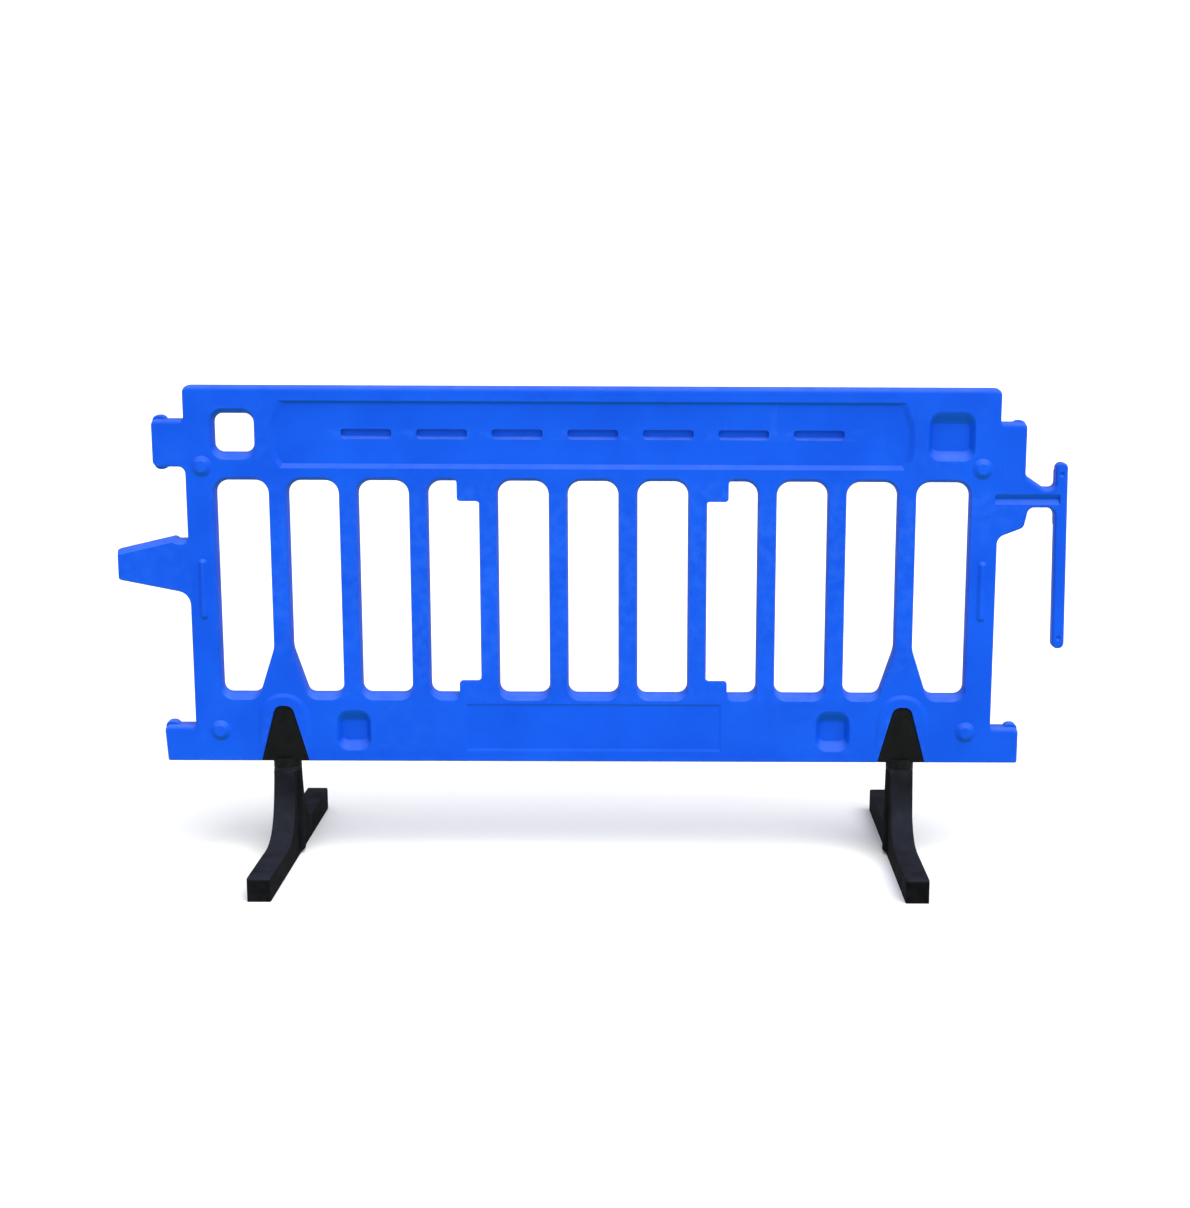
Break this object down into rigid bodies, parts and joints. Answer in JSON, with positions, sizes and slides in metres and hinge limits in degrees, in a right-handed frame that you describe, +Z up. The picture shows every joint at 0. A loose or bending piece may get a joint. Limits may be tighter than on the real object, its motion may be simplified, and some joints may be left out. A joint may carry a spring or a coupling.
{
  "type": "crowd barrier",
  "caption": "Portable moulded plastic crowd barrier with upright bars, swivelling anti-trip feet, and a tongue and hook at its ends that link it to the next barrier.",
  "frame": {"origin": "on the ground under the middle of the barrier", "axes": "+X along the panel from its tongue towards its hook, +Y from the front face towards the back, +Z up"},
  "size_m": [1.9728, 0.642, 0.996],
  "materials": {
    "blue_plastic": "satin",
    "black_plastic": "matte",
    "black_rubber": "matte",
    "grey_nylon": "satin",
    "plated_steel": "satin"
  },
  "bodies": {
    "barrier": {"barrier_panel": "blue_plastic", "left_foot_socket": "black_plastic", "left_pivot_bolt": "plated_steel", "left_head_washer": "plated_steel", "left_thrust_washer": "grey_nylon", "left_lock_nut": "plated_steel", "right_foot_socket": "black_plastic", "right_pivot_bolt": "plated_steel", "right_head_washer": "plated_steel", "right_thrust_washer": "grey_nylon", "right_lock_nut": "plated_steel"},
    "left_swivel_foot": {"left_foot": "black_rubber", "left_pivot_bush": "grey_nylon"},
    "right_swivel_foot": {"right_foot": "black_rubber", "right_pivot_bush": "grey_nylon"}
  },
  "joints": [
    {"name": "left_foot_swivel", "type": "hinge", "parent": "barrier", "child": "left_swivel_foot", "pos_m": [-0.651, 0, 0.151], "axis": [0, 0, 1], "range_deg": [-90, 90]},
    {"name": "right_foot_swivel", "type": "hinge", "parent": "barrier", "child": "right_swivel_foot", "pos_m": [0.651, 0, 0.151], "axis": [0, 0, 1], "range_deg": [-90, 90]}
  ]
}
